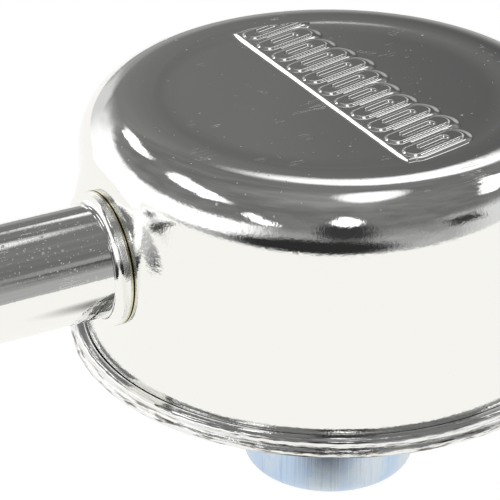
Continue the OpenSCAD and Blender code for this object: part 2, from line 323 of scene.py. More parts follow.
def crown_grid():
    """The crown inside its crest, as a square grid bent to a disc, and the disc's edge."""
    fine, coarse = 0.15, 0.7
    across = fine_steps(-1, 1, -5.4 / CREST_R, 12.4 / CREST_R, coarse / CREST_R, fine / CREST_R)
    lengthways = np.linspace(-1, 1, round(2 * CREST_R / fine))
    u, v = np.meshgrid(across, lengthways, indexing="ij")
    x = CREST_R * u * np.sqrt(1 - v * v / 2)
    y = CREST_R * v * np.sqrt(1 - u * u / 2)
    band = np.minimum(crown_relief(x, y), PLATEAU_H + BAR_H - 0.02)
    z = np.maximum(dish_height(np.hypot(x, y)) + sheet_waves(x, y), FLOOR_Z + band)
    rows, columns = u.shape
    number = np.arange(rows * columns).reshape(rows, columns)
    quads = np.stack(
        [number[:-1, :-1], number[1:, :-1], number[1:, 1:], number[:-1, 1:]], axis=-1
    ).reshape(-1, 4)
    ring = np.concatenate([number[:-1, 0], number[-1, :-1], number[:0:-1, -1], number[0, :0:-1]])
    vertices = np.stack([x.ravel(), y.ravel(), z.ravel()], axis=1)
    return vertices, quads, ring


def shoulder_curve(t, steps):
    """Half section from the wall over the shoulder to the crest, t below the top surface."""
    return (
        arc(SHOULDER_MID_R, SHOULDER_MID_Z, SHOULDER_R - t, 0, 90 - CREST_TILT, steps)
        + arc(CREST_R, SHELL_H - CREST_TOP_R, CREST_TOP_R - t, 90 - CREST_TILT, 90, steps // 4)[1:]
    )


def dish_curve(t, steps):
    """Half section from the crest down to the dish's flat floor, t below the top surface."""
    return (
        arc(CREST_R, SHELL_H - CREST_ROLL, CREST_ROLL - t, 90, 90 + DISH_SLOPE, steps)[1:]
        + arc(DISH_FLOOR_R, FLOOR_Z + FLOOR_ROLL, FLOOR_ROLL + t, DISH_SLOPE - 90, -90, steps)[1:]
    )


def press_pad(vertices, plane):
    """Presses the flat seat for the collar out of the round wall, blending into it."""
    x, y, z = vertices.T
    off = np.hypot(y, z - TUBE_Z)
    share = smooth((PAD_BLEND_R - off) / (PAD_BLEND_R - PAD_R))
    share = np.where(x < 0, share, 0)
    vertices[:, 0] = x + share * (-plane - x)


def dent_wall(vertices):
    """Faint unevenness that a deep-drawn wall has."""
    x, y, z = vertices.T
    angle = np.arctan2(y, x)
    inside = smooth((z - FOOT_TOP - 1) / 5) * smooth((SHELL_H - z) / 4)
    amount = 0.012 * np.sin(3 * angle + 0.4) + 0.008 * np.sin(7 * angle + z / 9)
    amount += 0.004 * np.sin(17 * angle + z / 5)
    factor = 1 + inside * amount / WALL_R
    vertices[:, 0] *= factor
    vertices[:, 1] *= factor


def ring_quads(first, second):
    """Quads between two rings of equal count."""
    first, second = list(first), list(second)
    return list(zip(first, first[1:] + first[:1], second[1:] + second[:1], second))


def stitch(coarse, fine):
    """Triangles between a ring and one with twice its count."""
    faces = []
    for k, corner in enumerate(coarse):
        following = coarse[(k + 1) % len(coarse)]
        first, middle, last = fine[2 * k], fine[2 * k + 1], fine[(2 * k + 2) % len(fine)]
        faces += [(corner, first, middle), (corner, middle, following), (following, middle, last)]
    return faces


def make_cover(material):
    crown, crown_quads, crown_edge = crown_grid()
    every_other = crown[crown_edge[::2]]
    turn = np.arctan2(every_other[:, 1], every_other[:, 0])
    columns = len(turn)
    wall_foot, wall_head = (WALL_R, FOOT_TOP), (WALL_R, SHOULDER_MID_Z)
    outer = (
        [(WALL_R - SHEET, FOOT_Z), (FOOT_R, FOOT_Z), (FOOT_R, FOOT_TOP)]
        + line(wall_foot, wall_head, 24) + shoulder_curve(0, 24)[:-1]
    )
    inner = (
        line((WALL_R - SHEET, FOOT_TOP), (WALL_R - SHEET, SHOULDER_MID_Z), 6)
        + shoulder_curve(SHEET, 4) + dish_curve(SHEET, 2)
    )
    outer_vertices, outer_quads = lathe(outer, turn, closed=False)
    inner_vertices, inner_quads = lathe(inner, turn, closed=False)
    dent_wall(outer_vertices)
    press_pad(outer_vertices, PAD_S)
    press_pad(inner_vertices, PAD_S - SHEET)
    inner_start = len(outer_vertices)
    crown_start = inner_start + len(inner_vertices)
    centre = crown_start + len(crown)
    vertices = np.concatenate([outer_vertices, inner_vertices, crown, [[0, 0, FLOOR_Z - SHEET]]])
    outer_edge = np.arange(inner_start - columns, inner_start)
    inner_edge = np.arange(crown_start - columns, crown_start)
    faces = list(outer_quads)
    faces += [tuple(inner_start + i for i in quad) for quad in inner_quads]
    faces += [tuple(crown_start + i for i in quad) for quad in crown_quads.tolist()]
    faces += stitch(outer_edge.tolist(), (crown_start + crown_edge).tolist())
    faces += ring_quads(list(range(columns)), list(range(inner_start, inner_start + columns)))
    faces += [(a, b, centre) for a, b in zip(inner_edge.tolist(), np.roll(inner_edge, -1).tolist())]
    cover = piece("pressed_cover", vertices, faces, material, 35)
    drill, drill_faces = tube_plug(TUBE_SHANK_R + GAP, CREST_R, WALL_R + 4)
    cut(cover, piece("drill", drill, drill_faces, material), 35)
    return cover


def tube_plug(radius, start, end):
    """A closed rod on the hose tube's axis."""
    angles = even_turn(96)
    vertices, faces = lathe([(radius, start), (radius, end)], angles, along_tube, closed=False)
    faces.append(tuple(range(96)))
    faces.append(tuple(range(96, 192)))
    return vertices, faces


# ---------------------------------------------------------------------------
# Base plate with its rolled rim
# ---------------------------------------------------------------------------
def base_profile():
    """Half section of the plate: out from the neck's hole underneath, round the rim and back on top."""
    hole = NECK_SHANK_R + GAP
    seat = NECK_R + GAP
    low_round, high_round, lip_round = 0.75, 0.65, 0.3
    lip_gap, foot_gap = 0.12, 0.1
    recess_flat_r, recess_round_r, recess_round = 20.0, RECESS_R + 0.1, 0.5
    foot_rise, foot_run = 0.12, 0.35
    recess_end = RECESS_R + RECESS_RUN
    low_bead = arc(RIM_R - low_round, low_round, low_round, -90, 52, 18)
    high_bead = arc(RIM_R - 1.0, LIP_TOP - high_round, high_round, -30, 90, 16)
    lip_end = arc(WALL_R + lip_gap + lip_round, LIP_TOP - lip_round, lip_round, 90, 180, 6)
    under = [
        (STIFFENER_R + STIFFENER_HALF * math.cos(a), STIFFENER_H * math.sin(a) ** 2)
        for a in np.linspace(math.pi, 0, 15)
    ]
    over = [(r, z + BASE_T) for r, z in reversed(under)]
    recess_low = arc(recess_round_r, RECESS_DEPTH - recess_round, recess_round, 90, 20, 5)
    recess_high = [(r + recess_round, z + BASE_T) for r, z in reversed(recess_low)]
    return (
        [(hole, RECESS_DEPTH + NECK_SEAT_H)]
        + line((seat, RECESS_DEPTH), (recess_flat_r, RECESS_DEPTH), 4)
        + recess_low + [(recess_end, foot_rise), (recess_end + foot_run, 0.0)]
        + under + low_bead + high_bead + lip_end
        + [(WALL_R + lip_gap, FOOT_TOP), (FOOT_R + foot_gap, FOOT_TOP), (FOOT_R + foot_gap, BASE_T)]
        + over + [(RECESS_R + 2 * RECESS_RUN, BASE_T)] + recess_high + [(hole, RECESS_DEPTH + BASE_T)]
    )


def roughen_rim(vertices):
    """The rolled rim's small folds and uneven thickness."""
    x, y, z = vertices.T
    radius = np.hypot(x, y)
    angle = np.arctan2(y, x)
    on_rim = smooth((radius - WALL_R - 0.9) / 0.5)
    wave = 0.030 * np.sin(9 * angle + 3 * z) + 0.022 * np.sin(31 * angle - 2 * z)
    wave += 0.016 * np.sin(83 * angle + 5 * z) - 0.068
    factor = 1 + on_rim * np.minimum(wave, 0) / radius
    vertices[:, 0] *= factor
    vertices[:, 1] *= factor


def make_base(material):
    vertices, faces = lathe(base_profile(), even_turn(512))
    roughen_rim(vertices)
    base = piece("rolled_base_plate", vertices, faces, material, 50)
    sink = RIVET_HEAD_R + GAP
    hole = RIVET_R + GAP
    section = [(sink, RECESS_DEPTH - 1), (sink, RECESS_DEPTH), (hole, RECESS_DEPTH + RIVET_SINK),
               (hole, RECESS_DEPTH + BASE_T + 1)]
    cut(base, rivet_set("drill", section, material), 50)
    return base


def rivet_set(name, section, material):
    """Closed round solids at the rivets' places, from one open half section."""
    solids = []
    for i in range(RIVET_COUNT):
        turn = 2 * math.pi * i / RIVET_COUNT + math.pi / 6
        angles = even_turn(48)
        vertices, faces = lathe(section, angles, closed=False)
        vertices[:, 0] += RIVET_RING_R * math.cos(turn)
        vertices[:, 1] += RIVET_RING_R * math.sin(turn)
        last = len(vertices)
        faces.append(tuple(range(48)))
        faces.append(tuple(range(last - 48, last)))
        solids.append((vertices, faces))
    return piece(name, *join_solids(solids), material)


# ---------------------------------------------------------------------------
# Neck, gauze and rivets
# ---------------------------------------------------------------------------
def make_neck(material):
    lip_r = NECK_IN_R - 0.4
    step_r = NECK_IN_R - 0.6
    seat = gauze_high.z
    groove_top = gauze_low.z
    groove_low = groove_top - 1.1
    groove_r = NECK_IN_R + 0.15
    flange_z = NECK_TOP - 1.2
    flange_round, flange_inset = 0.25, 0.3
    lip_round, lip_end = 0.3, NECK_END + 1.4
    profile = (
        [(step_r, NECK_TOP)]
        + line((step_r + flange_inset, NECK_TOP), (NECK_FLANGE_R - flange_inset, NECK_TOP), 8)
        + arc(NECK_FLANGE_R - flange_round, NECK_TOP - flange_round, flange_round, 90, 0, 4)
        + [(NECK_FLANGE_R, flange_z), (NECK_SHANK_R, flange_z),
           (NECK_SHANK_R, RECESS_DEPTH + NECK_SEAT_H)]
        + line((NECK_R, RECESS_DEPTH), (NECK_R, NECK_END + NOSE_R), 24)
        + arc(NECK_R - NOSE_R, NECK_END + NOSE_R, NOSE_R, 0, -70, 16)
        + arc(lip_r + lip_round, NECK_END + lip_round, lip_round, -90, -180, 5)
        + [(lip_r, NECK_END + 2 * lip_round), (NECK_IN_R, lip_end), (NECK_IN_R, groove_low),
           (groove_r, groove_low), (groove_r, groove_top), (NECK_IN_R, groove_top),
           (NECK_IN_R, seat), (step_r, seat)]
    )
    neck = solid_lathe("neck_pipe", profile, material)
    hole = RIVET_R + GAP
    cut(neck, rivet_set("drill", [(hole, RECESS_DEPTH), (hole, NECK_TOP + 1)], material))
    return neck


def make_rivets(material):
    """Countersunk heads underneath, and low domed ends over the baffle's feet."""
    dome_h = 0.8
    shank_top = rivets_high.z - dome_h
    flat_r, flat_lift = 0.7, 0.02
    edge_run, edge_rise = 0.08, 0.05
    section = [
        (flat_r, RECESS_DEPTH + flat_lift), (RIVET_HEAD_R - edge_run, RECESS_DEPTH),
        (RIVET_HEAD_R, RECESS_DEPTH + edge_rise), (RIVET_R, RECESS_DEPTH + RIVET_SINK),
        (RIVET_R, shank_top), (RIVET_HEAD_R, shank_top),
    ]
    section += [
        (RIVET_HEAD_R * math.cos(a), shank_top + dome_h * math.sin(a))
        for a in np.linspace(0.15, 1.4, 8)
    ]
    return rivet_set("rivet_heads", section, material)


def make_gauze(material):
    """Plain weave: wires that pass over and under each other, clipped to a disc."""
    pitch, wire_r, crossing = 0.95, 0.13, 1.05
    wires_each_way, shortest_half = 11, 1.5
    middle = (gauze_low.z + gauze_high.z) / 2
    reach = gauze_high.x - 0.1
    sides = 8
    solids = []
    for across in (False, True):
        for i in range(-wires_each_way, wires_each_way + 1):
            offset = i * pitch
            half = math.sqrt(max(reach**2 - offset**2, 0))
            if half < shortest_half:
                continue
            steps = max(8, round(4 * half / pitch) * 2)
            s = np.linspace(-half, half, steps)
            phase = math.pi * i + (math.pi if across else 0)
            rise = middle + wire_r * crossing * np.cos(math.pi * s / pitch + phase)
            turn = even_turn(sides)
            ring_side = wire_r * np.cos(turn)
            ring_up = wire_r * np.sin(turn)
            along = np.repeat(s, sides)
            side = offset + np.tile(ring_side, steps)
            up = np.repeat(rise, sides) + np.tile(ring_up, steps)
            vertices = np.stack([side, along, up] if across else [along, side, up], axis=1)
            faces = []
            for k in range(steps - 1):
                for m in range(sides):
                    n = (m + 1) % sides
                    faces.append((k * sides + m, k * sides + n, (k + 1) * sides + n, (k + 1) * sides + m))
            faces.append(tuple(range(sides)))
            faces.append(tuple(range((steps - 1) * sides, steps * sides)))
            solids.append((vertices, faces))
    return piece("woven_gauze", *join_solids(solids), material)


# ---------------------------------------------------------------------------
# Hose tube, collar and washer
# ---------------------------------------------------------------------------
def make_pipe(material):
    edge = 0.3
    profile = (
        [(TUBE_BORE_R, TUBE_START), (TUBE_SHANK_R, TUBE_START), (TUBE_SHANK_R, COLLAR_END)]
        + line((TUBE_R, COLLAR_END), (TUBE_R, TUBE_END - edge), 60)
        + arc(TUBE_R - edge, TUBE_END - edge, edge, 0, 90, 6)
        + arc(TUBE_BORE_R + edge, TUBE_END - edge, edge, 90, 180, 6)
        + line((TUBE_BORE_R, TUBE_END - 2 * edge), (TUBE_BORE_R, TUBE_START), 12)
    )
    return solid_lathe("hose_pipe", profile, material, 256, along_tube)


def make_collar(material):
    """A grooved band against the washer and a hollow flare down to the tube."""
    bore = TUBE_SHANK_R + GAP
    band, band_edge = 0.8, 0.05
    ridges, ridge_depth = 4, 0.08
    band_end = COLLAR_START + band
    foot_r = TUBE_R + 0.1
    steps = ridges * 10
    ridged = [
        (COLLAR_R - ridge_depth * (0.5 - 0.5 * math.cos(2 * math.pi * ridges * i / steps)),
         COLLAR_START + band * i / steps)
        for i in range(1, steps + 1)
    ]
    flare_r = COLLAR_R - foot_r
    flare_length = COLLAR_END - band_end
    flare = [
        (foot_r + flare_r * (1 - math.sin(a)), band_end + flare_length * (1 - math.cos(a)))
        for a in np.linspace(0.05, math.pi / 2, 16)
    ]
    start = [(bore, COLLAR_START), (COLLAR_R - band_edge, COLLAR_START)]
    profile = start + ridged + flare + [(bore, COLLAR_END)]
    return solid_lathe("turned_collar", profile, material, 256, along_tube, 60)


def make_washer(material):
    bore = TUBE_SHANK_R + GAP
    start, end = -washer_high.x, -washer_low.x
    outer_r = (washer_high.y - washer_low.y) / 2
    edge = 0.12
    profile = (
        [(bore, start)] + arc(outer_r - edge, start + edge, edge, -90, 0, 4)
        + arc(outer_r - edge, end - edge, edge, 0, 90, 4) + [(bore, end)]
    )
    return solid_lathe("plated_washer", profile, material, 192, along_tube)


# ---------------------------------------------------------------------------
# Materials
# ---------------------------------------------------------------------------
class Nodes:
    """Short calls for building a node tree."""

    def __init__(self, tree):
        self.tree = tree
        tree.nodes.clear()

    def add(self, kind, inputs=None, **settings):
        node = self.tree.nodes.new(kind)
        for key, value in settings.items():
            setattr(node, key, value)
        for key, value in (inputs or {}).items():
            if isinstance(value, bpy.types.NodeSocket):
                self.tree.links.new(value, node.inputs[key])
            else:
                node.inputs[key].default_value = value
        return node

    def math(self, operation, first, second=0.0, third=0.0):
        node = self.add("ShaderNodeMath", {0: first, 1: second, 2: third}, operation=operation)
        return node.outputs[0]

    def vector(self, operation, first, second=(0.0, 0.0, 0.0)):
        node = self.add("ShaderNodeVectorMath", {0: first, 1: second}, operation=operation)
        return node.outputs[0]

    def noise(self, place, scale, detail=2.0, roughness=0.5):
        values = {"Vector": place, "Scale": scale, "Detail": detail, "Roughness": roughness}
        return self.add("ShaderNodeTexNoise", values).outputs["Fac"]

    def ramp(self, value, low, high, out_low=0.0, out_high=1.0):
        values = {"Value": value, "From Min": low, "From Max": high, "To Min": out_low, "To Max": out_high}
        return self.add("ShaderNodeMapRange", values, interpolation_type="SMOOTHSTEP").outputs[0]

    def mix(self, share, first, second):
        node = self.add("ShaderNodeMix", {"Factor": share}, data_type="RGBA")
        for socket, value in ((node.inputs[6], first), (node.inputs[7], second)):
            if isinstance(value, bpy.types.NodeSocket):
                self.tree.links.new(value, socket)
            else:
                socket.default_value = value
        return node.outputs[2]

    def bump(self, height, distance, strength=1.0, below=None):
        values = {"Height": height, "Distance": distance, "Strength": strength}
        if below is not None:
            values["Normal"] = below
        return self.add("ShaderNodeBump", values).outputs[0]


def tone(red, green, blue):
    """A colour given as 0 to 255 on screen, as linear values."""
    parts = [c / 255 for c in (red, green, blue)]
    linear = [c / 12.92 if c <= 0.04045 else ((c + 0.055) / 1.055) ** 2.4 for c in parts]
    return (*linear, 1.0)


def new_material(name, metallic, roughness, colour):
    """A material with a principled shader, its node helper and the shader node."""
    material = bpy.data.materials.new(name)
    material.use_nodes = True
    nodes = Nodes(material.node_tree)
    shader = nodes.add("ShaderNodeBsdfPrincipled", {
        "Metallic": metallic, "Roughness": roughness, "Base Color": colour,
    })
    output = nodes.add("ShaderNodeOutputMaterial")
    material.node_tree.links.new(shader.outputs[0], output.inputs[0])
    return material, nodes, shader


def wire(nodes, source, shader, socket):
    nodes.tree.links.new(source, shader.inputs[socket])


def object_place(nodes):
    return nodes.add("ShaderNodeTexCoord").outputs["Object"]


def specks(nodes, place, scale, size, chance):
    """1 inside small scattered spots, with a share of the cells left empty."""
    cells = nodes.add("ShaderNodeTexVoronoi", {"Vector": place, "Scale": scale})
    near = nodes.ramp(cells.outputs["Distance"], size, size * 0.6)
    pick = nodes.add("ShaderNodeSeparateColor", {"Color": cells.outputs["Color"]}).outputs[0]
    chosen = nodes.math("LESS_THAN", pick, chance)
    return nodes.math("MULTIPLY", near, chosen)


def scratches(nodes, place, turn):
    """Long thin broken lines, from stretched noise near its middle value."""
    mapped = nodes.add("ShaderNodeMapping", {
        "Vector": place, "Rotation": (0.0, 0.0, turn), "Scale": (1.0, 16.0, 16.0),
    }).outputs[0]
    value = nodes.noise(mapped, 70.0, 1.0, 0.5)
    from_middle = nodes.math("ABSOLUTE", nodes.math("SUBTRACT", value, 0.5))
    lines = nodes.ramp(from_middle, 0.008, 0.0)
    patches = nodes.ramp(nodes.noise(place, 160.0), 0.6, 0.68)
    return nodes.math("MULTIPLY", lines, patches)


def facing_up(nodes):
    """1 on surfaces that dust can settle on, 0 on walls and below."""
    normal = nodes.add("ShaderNodeNewGeometry").outputs["Normal"]
    up = nodes.add("ShaderNodeSeparateXYZ", {"Vector": normal}).outputs[2]
    return nodes.ramp(up, 0.05, 0.35)


def settled_dust(nodes, place, amount):
    """White dust specks in loose clusters, on the surfaces that face up."""
    clusters = nodes.ramp(nodes.noise(place, 70.0, 3.0, 0.7), 0.35, 0.65, 0.1, 1.0)
    large = specks(nodes, place, 700.0, 0.17, amount)
    small = specks(nodes, place, 1700.0, 0.24, amount)
    dots = nodes.math("MAXIMUM", large, small)
    return nodes.math("MULTIPLY", dots, nodes.math("MULTIPLY", clusters, facing_up(nodes)))


def chrome(name, dust, peel_depth, base=tone(245, 245, 243)):
    """Bright nickel-chrome plate on drawn sheet, with dust and hairline scratches."""
    material, nodes, shader = new_material(name, 1.0, 0.05, base)
    place = object_place(nodes)
    dots = settled_dust(nodes, place, dust)
    lines = nodes.math("MAXIMUM", scratches(nodes, place, 0.35), scratches(nodes, place, 2.3))
    lines = nodes.math("MULTIPLY", lines, facing_up(nodes))
    haze = nodes.noise(place, 60.0, 4.0, 0.6)
    rough = nodes.ramp(haze, 0.35, 0.75, 0.03, 0.075)
    rough = nodes.math("ADD", rough, nodes.math("MULTIPLY", lines, 0.15))
    rough = nodes.math("ADD", rough, nodes.math("MULTIPLY", dots, 0.5))
    wire(nodes, rough, shader, "Roughness")
    wire(nodes, nodes.mix(dots, base, tone(234, 232, 228)), shader, "Base Color")
    wire(nodes, nodes.math("SUBTRACT", 1.0, nodes.math("MULTIPLY", dots, 0.9)), shader, "Metallic")
    height = nodes.add("ShaderNodeSeparateXYZ", {"Vector": place}).outputs[2]
    shoulder_top, shoulder_low = 0.0355, 0.0315
    stretched = nodes.ramp(height, shoulder_top, shoulder_low, 0.15, 1.0)
    peel = nodes.math("MULTIPLY", nodes.noise(place, 1900.0, 3.0, 0.6), stretched)
    normal = nodes.bump(nodes.noise(place, 120.0, 2.0, 0.5), 0.00002)
    normal = nodes.bump(peel, peel_depth, 1.0, normal)
    normal = nodes.bump(lines, 0.000004, 1.0, normal)
    wire(nodes, normal, shader, "Normal")
    return material


def ring_place(nodes, place, around, outward, upward):
    """Coordinates that run round the upright axis, so that noise can follow a turned rim."""
    parts = nodes.add("ShaderNodeSeparateXYZ", {"Vector": place})
    x, y, z = parts.outputs
    angle = nodes.math("ARCTAN2", y, x)
    square = nodes.math("ADD", nodes.math("MULTIPLY", x, x), nodes.math("MULTIPLY", y, y))
    radius = nodes.math("SQRT", square)
    combined = nodes.add("ShaderNodeCombineXYZ", {
        "X": nodes.math("MULTIPLY", angle, around),
        "Y": nodes.math("MULTIPLY", radius, outward),
        "Z": nodes.math("MULTIPLY", z, upward),
    })
    return combined.outputs[0]


def rim_chrome():
    """Chrome over the rolled rim's torn and pitted fold; smooth away from it."""
    base = tone(242, 242, 241)
    material, nodes, shader = new_material("rim_chrome", 1.0, 0.1, base)
    place = object_place(nodes)
    x, y, z = nodes.add("ShaderNodeSeparateXYZ", {"Vector": place}).outputs
    square = nodes.math("ADD", nodes.math("MULTIPLY", x, x), nodes.math("MULTIPLY", y, y))
    radius = nodes.math("SQRT", square)
    rim_start, rim_full = 0.0358, 0.0366
    on_rim = nodes.ramp(radius, rim_start, rim_full)
    streaks = nodes.noise(ring_place(nodes, place, 10.0, 2600.0, 2600.0), 1.0, 3.0, 0.6)
    pits = nodes.noise(ring_place(nodes, place, 70.0, 4000.0, 4000.0), 1.0, 3.0, 0.7)
    coarse = nodes.noise(ring_place(nodes, place, 12.0, 900.0, 900.0), 1.0, 2.0, 0.6)
    lip_top, lip_low = 0.0022, 0.0014
    torn = nodes.math("MULTIPLY", on_rim, nodes.ramp(z, lip_top, lip_low, 0.3, 1.0))
    wire(nodes, nodes.math("MULTIPLY_ADD", torn, 0.12, 0.04), shader, "Roughness")
    height = nodes.math("ADD", streaks, nodes.math("MULTIPLY", pits, 0.2))
    height = nodes.math("MULTIPLY", nodes.math("ADD", height, coarse), torn)
    wire(nodes, nodes.bump(height, 0.00008), shader, "Normal")
    dirt = nodes.math("MULTIPLY", torn, nodes.ramp(streaks, 0.5, 0.66))
    wire(nodes, nodes.mix(dirt, base, tone(110, 104, 98)), shader, "Base Color")
    return material


def clear_zinc():
    """Pale blue zinc with drawing marks down the tube and cloudy passivation."""
    material, nodes, shader = new_material("clear_zinc_plate", 1.0, 0.3, tone(190, 206, 224))
    place = object_place(nodes)
    down = nodes.noise(ring_place(nodes, place, 26.0, 300.0, 60.0), 1.0, 4.0, 0.65)
    cloud = nodes.noise(place, 200.0, 4.0, 0.6)
    colour = nodes.mix(nodes.ramp(cloud, 0.35, 0.65), tone(188, 208, 232), tone(208, 218, 228))
    colour = nodes.mix(nodes.ramp(down, 0.52, 0.7, 0.0, 0.4), colour, tone(150, 166, 190))
    wire(nodes, colour, shader, "Base Color")
    wire(nodes, nodes.ramp(cloud, 0.3, 0.8, 0.16, 0.28), shader, "Roughness")
    normal = nodes.bump(down, 0.00007)
    normal = nodes.bump(nodes.noise(place, 5000.0), 0.000002, 1.0, normal)
    wire(nodes, normal, shader, "Normal")
    return material


def yellow_zinc():
    """Yellow passivated zinc, slightly iridescent, with painted shade where it meets the pad."""
    material, nodes, shader = new_material("yellow_zinc_plate", 1.0, 0.25, tone(224, 214, 160))
    place = object_place(nodes)
    cloud = nodes.noise(place, 400.0, 3.0, 0.6)
    colour = nodes.mix(nodes.ramp(cloud, 0.35, 0.7), tone(234, 228, 196), tone(214, 212, 184))
    reach = nodes.math("MULTIPLY", nodes.add("ShaderNodeSeparateXYZ", {"Vector": place}).outputs[0], -1.0)
    joint = PAD_S * MM
    # Painted shade: the washer is coloured near black within about 0.2 mm of the pad, standing in for the
    # shadow in the gap between the parts.
    gap_shade = nodes.ramp(reach, joint + 0.0001, joint + 0.00019, 1.0, 0.0)
    colour = nodes.mix(gap_shade, colour, tone(40, 38, 34))
    wire(nodes, colour, shader, "Base Color")
    wire(nodes, nodes.ramp(cloud, 0.3, 0.7, 0.16, 0.32), shader, "Roughness")
    wire(nodes, nodes.bump(nodes.noise(place, 4000.0), 0.000003), shader, "Normal")
    return material


def bare_steel():
    """Cold-rolled steel with a mill grain and a light film of oil."""
    material, nodes, shader = new_material("mill_steel", 1.0, 0.35, tone(168, 168, 166))
    place = object_place(nodes)
    grain = nodes.add("ShaderNodeMapping", {"Vector": place, "Scale": (1.0, 18.0, 18.0)}).outputs[0]
    rolled = nodes.noise(grain, 300.0, 3.0, 0.6)
    cloud = nodes.noise(place, 90.0, 4.0, 0.6)
    stained = nodes.mix(nodes.ramp(cloud, 0.35, 0.75), tone(176, 176, 174), tone(140, 136, 130))
    wire(nodes, stained, shader, "Base Color")
    wire(nodes, nodes.ramp(rolled, 0.3, 0.7, 0.28, 0.45), shader, "Roughness")
    wire(nodes, nodes.bump(rolled, 0.000006), shader, "Normal")
    return material


def soft_material(name, dark, light, scale, relief, roughness):
    """Rubber, fibre board or felt: a mottled colour over a fine rough surface."""
    material, nodes, shader = new_material(name, 0.0, roughness, light)
    place = object_place(nodes)
    mottle = nodes.noise(place, scale, 5.0, 0.7)
    wire(nodes, nodes.mix(nodes.ramp(mottle, 0.3, 0.7), dark, light), shader, "Base Color")
    wire(nodes, nodes.bump(nodes.noise(place, scale * 4, 3.0, 0.7), relief), shader, "Normal")
    return material


def knitted_wire():
    """Crimped and knitted steel wire, packed into a ring."""
    material, nodes, shader = new_material("knitted_wire", 1.0, 0.35, tone(150, 146, 138))
    place = object_place(nodes)
    knit = {"Vector": ring_place(nodes, place, 24.0, 900.0, 700.0), "Scale": 1.0}
    loops = nodes.add("ShaderNodeTexVoronoi", knit, feature="DISTANCE_TO_EDGE")
    strand = nodes.ramp(loops.outputs["Distance"], 0.16, 0.04)
    wire(nodes, nodes.mix(strand, tone(46, 44, 40), tone(176, 172, 162)), shader, "Base Color")
    wire(nodes, nodes.bump(strand, 0.0004), shader, "Normal")
    return material


# ---------------------------------------------------------------------------
# Camera
# ---------------------------------------------------------------------------
CAMERA_AZIMUTH = math.radians(-30.51)
CAMERA_ELEVATION = math.radians(26.68)
CAMERA_DISTANCE = 0.35247
CAMERA_TARGET = Vector((0, 0, 0.020))


def make_camera():
    back = Vector((
        math.sin(CAMERA_AZIMUTH) * math.cos(CAMERA_ELEVATION),
        -math.cos(CAMERA_AZIMUTH) * math.cos(CAMERA_ELEVATION),
        math.sin(CAMERA_ELEVATION),
    ))
    data = bpy.data.cameras.new("camera")
    data.lens = 176.9
    data.sensor_width = 36
    camera = bpy.data.objects.new("camera", data)
    camera.location = CAMERA_TARGET + back * CAMERA_DISTANCE
    look = (-back).to_track_quat("-Z", "Y")
    pan = Quaternion((0, 1, 0), 0.0332)
    tilt = Quaternion((1, 0, 0), -0.0216)
    roll = Quaternion((0, 0, 1), 0.0178)
    camera.rotation_mode = "QUATERNION"
    camera.rotation_quaternion = look @ pan @ tilt @ roll
    bpy.context.scene.collection.objects.link(camera)
    bpy.context.scene.camera = camera


# ---------------------------------------------------------------------------
# Studio: soft boxes, pale walls and dark flags as soft patches of sky, and a pale table
# ---------------------------------------------------------------------------
# Each patch: azimuth from the camera (positive to the right), elevation, half width, half height
# and tilt in degrees, then softness, brightness, grey level, and whether it is an ellipse.
STUDIO = [
    # Pale walls and the table beyond the object
    (180, -5, 22, 14, 0, 0.3, 1.0, 160, False),
    (-150, 8, 12, 16, 0, 0.4, 1.0, 216, False),
    (-86, 10, 55, 14, 0, 0.2, 1.25, 255, False),
    (112, 4, 52, 24, 0, 0.3, 1.0, 224, False),
    # Dark flags, which give the chrome its contrast
    (180, 23, 26, 7.5, 0, 0.3, 1.0, 126, False),
    (170, 22, 13, 10, 0, 0.9, 1.0, 88, True),
    (60, 19, 7, 7, 0, 0.5, 1.0, 60, False),
    (-8, -8, 37, 16, 0, 0.3, 1.0, 46, True),
    (6, 26, 13, 20, 0, 0.4, 1.0, 58, True),
    # Soft boxes overhead
    (172, 38, 13, 6.5, 0, 0.35, 1.2, 255, True),
    (-92, 52, 28, 5.5, 0, 0.2, 1.8, 255, True),
    (-144.5, 36.5, 12.5, 3.9, 27, 0.2, 1.8, 255, True),
    (-36, 37, 12, 4.5, -40, 0.2, 1.8, 255, True),
    (8, 47, 7, 10, 0, 0.2, 1.8, 255, True),
    (110, 48.5, 21, 5, 10, 0.2, 1.8, 255, True),
]
# Grey level of the studio's floor, walls and ceiling, by elevation in degrees
SKY = [
    (-90, 204), (-20, 194), (0, 174), (22, 136), (34, 122),
    (50, 118), (64, 120), (74, 132), (84, 144), (90, 148),
]


def sky_colour(nodes, elevation):
    """The studio's plain grey, which changes only with elevation."""
    share = nodes.math("MULTIPLY_ADD", elevation, 1 / 180, 0.5)
    band = nodes.add("ShaderNodeValToRGB", {"Fac": share})
    stops = band.color_ramp.elements
    while len(stops) < len(SKY):
        stops.new(0.5)
    for stop, (height, grey) in zip(stops, SKY):
        stop.position = height / 180 + 0.5
        stop.color = tone(grey, grey, grey)
    return band.outputs[0]


def paint_patch(nodes, under, place, patch):
    """Lays one soft patch over the colour under it."""
    azimuth, elevation, half_w, half_h, tilt, soft, bright, grey, ellipse = patch
    local = nodes.vector("SUBTRACT", place, (azimuth, elevation, 0.0))
    half_turn = {0: local, 1: (180.0, 900.0, 900.0), 2: (-180.0, -900.0, -900.0)}
    wrapped = nodes.add("ShaderNodeVectorMath", half_turn, operation="WRAP").outputs[0]
    if tilt:
        turn = {"Vector": wrapped, "Angle": math.radians(-tilt)}
        wrapped = nodes.add("ShaderNodeVectorRotate", turn, rotation_type="Z_AXIS").outputs[0]
    scaled = nodes.vector("MULTIPLY", wrapped, (1 / half_w, 1 / half_h, 0.0))
    if ellipse:
        length = nodes.add("ShaderNodeVectorMath", {0: scaled}, operation="LENGTH").outputs["Value"]
    else:
        parts = nodes.add("ShaderNodeSeparateXYZ", {"Vector": nodes.vector("ABSOLUTE", scaled)}).outputs
        length = nodes.math("MAXIMUM", parts[0], parts[1])
    share = nodes.ramp(length, 1 + soft, 1 - soft)
    lit = tuple(c * bright for c in tone(grey, grey, grey)[:3]) + (1.0,)
    return nodes.mix(share, under, lit)


